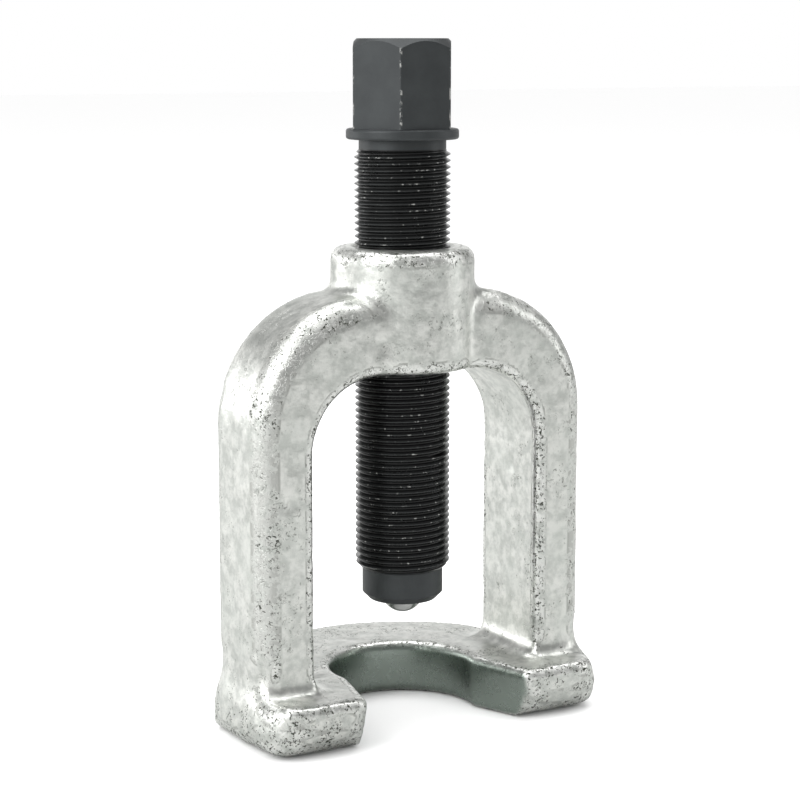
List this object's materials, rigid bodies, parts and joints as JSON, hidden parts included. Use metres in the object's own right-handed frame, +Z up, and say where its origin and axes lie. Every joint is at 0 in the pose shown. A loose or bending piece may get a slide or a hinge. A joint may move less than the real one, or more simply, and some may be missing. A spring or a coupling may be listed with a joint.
{
  "type": "ball joint separator",
  "caption": "Forged yoke with a horseshoe fork at its foot and a black forcing spindle with a hexagon head and a thrust ball, screwed through its boss.",
  "frame": {"origin": "on the spindle's axis, in the plane of the fork's underside", "axes": "+Z up along the spindle's axis towards the hexagon head; +X across the two legs; the fork's mouth opens towards -Y"},
  "size_m": [0.0898, 0.0603, 0.1584],
  "materials": {
    "zinc_plated_forging": "satin, mottled zinc over a forged skin",
    "black_steel": "black oxide, satin",
    "polished_steel": "polished"
  },
  "bodies": {
    "yoke": {"yoke": "zinc_plated_forging"},
    "ball": {"thrust_ball": "polished_steel"},
    "spindle": {"spindle": "black_steel"}
  },
  "joints": [
    {"name": "screw_feed", "type": "slide", "parent": "yoke", "child": "ball", "axis": [0, 0, 1], "range_m": [-0.0241, 0.0466]},
    {"name": "screw_turn", "type": "hinge", "parent": "ball", "child": "spindle", "pos_m": [0, 0, 0.1], "axis": [0, 0, 1], "range_deg": [-5760, 11160]}
  ],
  "couplings": [
    {"joint": "screw_feed", "follows": "screw_turn", "m_per_rad": 0.00023873}
  ]
}
